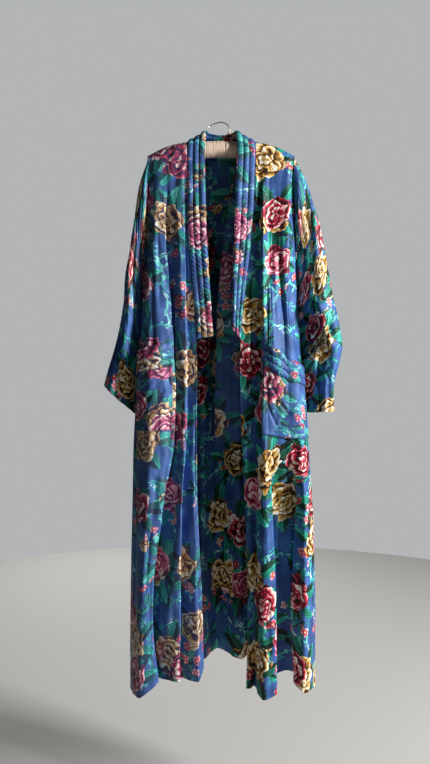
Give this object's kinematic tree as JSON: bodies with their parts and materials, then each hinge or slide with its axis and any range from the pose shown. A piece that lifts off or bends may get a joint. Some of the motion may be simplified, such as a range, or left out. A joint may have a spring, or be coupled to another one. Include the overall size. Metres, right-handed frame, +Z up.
{
  "type": "kimono robe on a padded hanger",
  "caption": "Full-length open kimono robe with wide sleeves, pintucked collar bands, patch pockets and a loose sash, hung on a padded hanger.",
  "frame": {"origin": "underside of the hook's wire at its highest point, where a nail or rail carries it", "axes": "+Z up, -Y towards the robe's open front, -X towards the wearer's right sleeve"},
  "size_m": [0.6052, 0.1757, 1.4391],
  "materials": {
    "print_cloth": "soft semi-matte viscose with a floral print",
    "tucked_cloth": "the same viscose, pintucked",
    "satin": "ruched satin over padding",
    "wire": "polished pale brass wire"
  },
  "bodies": {
    "root": {"front_right": "print_cloth", "front_left": "print_cloth", "back": "print_cloth", "sleeve_right": "print_cloth", "sleeve_left": "print_cloth", "band_right": "tucked_cloth", "band_left": "tucked_cloth", "band_neck": "tucked_cloth", "pocket_right": "print_cloth", "pocket_band_right": "tucked_cloth", "pocket_left": "print_cloth", "pocket_band_left": "tucked_cloth", "sash": "print_cloth", "hanger_bar": "satin", "hanger_hook": "wire"}
  },
  "joints": []
}
